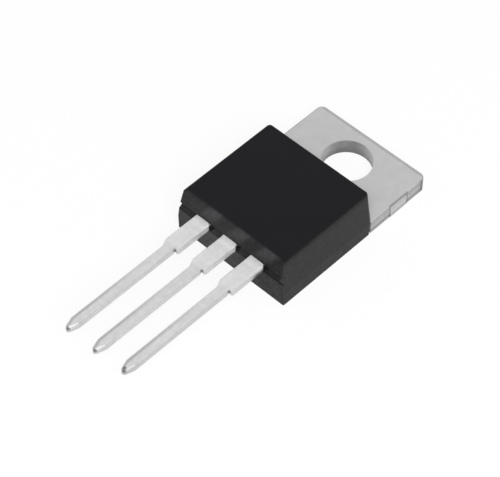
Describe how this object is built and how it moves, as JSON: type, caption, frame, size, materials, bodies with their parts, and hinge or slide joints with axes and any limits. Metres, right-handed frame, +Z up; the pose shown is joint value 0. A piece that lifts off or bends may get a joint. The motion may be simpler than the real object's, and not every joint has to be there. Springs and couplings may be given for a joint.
{
  "type": "pnp transistor",
  "caption": "Power transistor with a black moulded body, a metal mounting tab with a round screw hole, and a row of flat pointed leads.",
  "frame": {"origin": "on the mounting hole's axis, at the back face of the tab", "axes": "+X across the body towards the emitter lead, +Y along the tab towards its far end, +Z up from the mounting face; the leads point to -Y"},
  "size_m": [0.01, 0.0272, 0.004],
  "materials": {
    "moulding_compound": "black epoxy moulding compound, satin, faintly reflecting",
    "plated_copper": "dull tin-plated copper, even grey, with stamped edges",
    "tinned_copper": "bright hot-dipped tin over copper",
    "silicon": "sawn silicon chip with a dark glossy top",
    "solder": "dull soft solder",
    "bond_wire": "drawn aluminium wire"
  },
  "bodies": {
    "root": {"moulded_body": "moulding_compound", "collector_tab": "plated_copper", "base_lead": "tinned_copper", "emitter_lead": "tinned_copper", "silicon_die": "silicon", "die_solder": "solder", "base_wire": "bond_wire", "emitter_wire": "bond_wire"}
  },
  "joints": []
}
